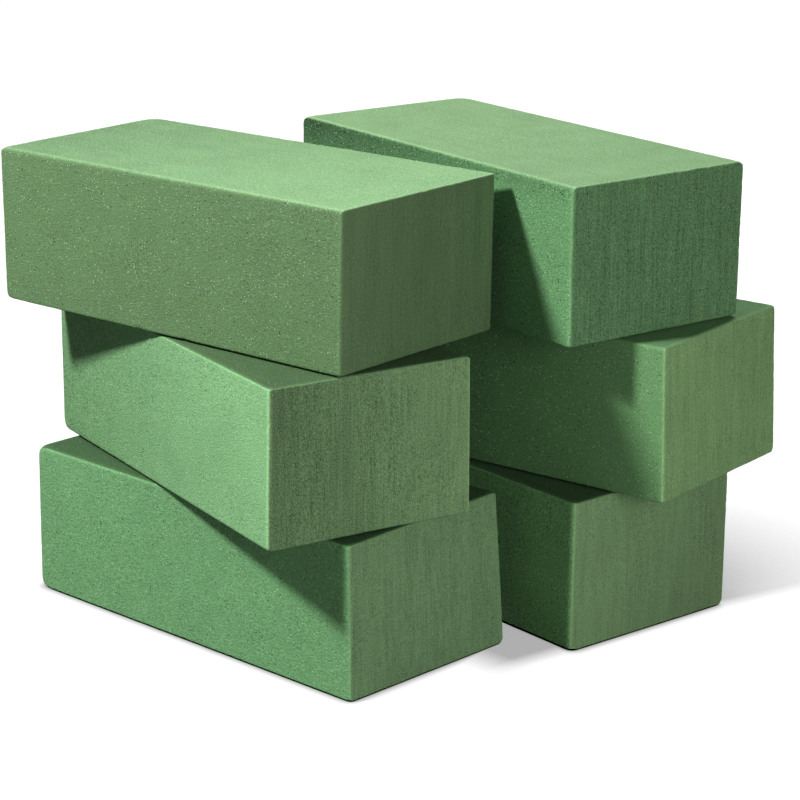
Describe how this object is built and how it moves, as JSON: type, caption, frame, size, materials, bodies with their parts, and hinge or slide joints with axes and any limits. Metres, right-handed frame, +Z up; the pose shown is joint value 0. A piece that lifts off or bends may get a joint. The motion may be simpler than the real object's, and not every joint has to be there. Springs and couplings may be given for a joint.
{
  "type": "floral foam brick",
  "caption": "Rigid green foam blocks that hold cut flower stems, in two loose piles, each block lying turned on the one below.",
  "frame": {"origin": "on the floor, under the middle of the two piles", "axes": "+Z up; +X along the length of the bricks towards their sawn ends; +Y from the front pile to the back pile"},
  "size_m": [0.311, 0.2978, 0.2406],
  "materials": {
    "foam": "dry open-cell phenolic foam, matt green, speckled on sawn faces and smooth on cast ones"
  },
  "bodies": {
    "front_bottom_brick": {"front_bottom": "foam"},
    "front_middle_brick": {"front_middle": "foam"},
    "front_top_brick": {"front_top": "foam"},
    "back_bottom_brick": {"back_bottom": "foam"},
    "back_middle_brick": {"back_middle": "foam"},
    "back_top_brick": {"back_top": "foam"}
  },
  "joints": [
    {"name": "front_middle_lift", "type": "slide", "parent": "front_bottom_brick", "child": "front_middle_brick", "axis": [0, 0, 1], "range_m": [0, 0.12]},
    {"name": "front_top_lift", "type": "slide", "parent": "front_middle_brick", "child": "front_top_brick", "axis": [0, 0, 1], "range_m": [0, 0.12]},
    {"name": "back_bottom_lift", "type": "slide", "parent": "front_bottom_brick", "child": "back_bottom_brick", "axis": [0, 0, 1], "range_m": [0, 0.12]},
    {"name": "back_middle_lift", "type": "slide", "parent": "back_bottom_brick", "child": "back_middle_brick", "axis": [0, 0, 1], "range_m": [0, 0.12]},
    {"name": "back_top_lift", "type": "slide", "parent": "back_middle_brick", "child": "back_top_brick", "axis": [0, 0, 1], "range_m": [0, 0.12]}
  ]
}
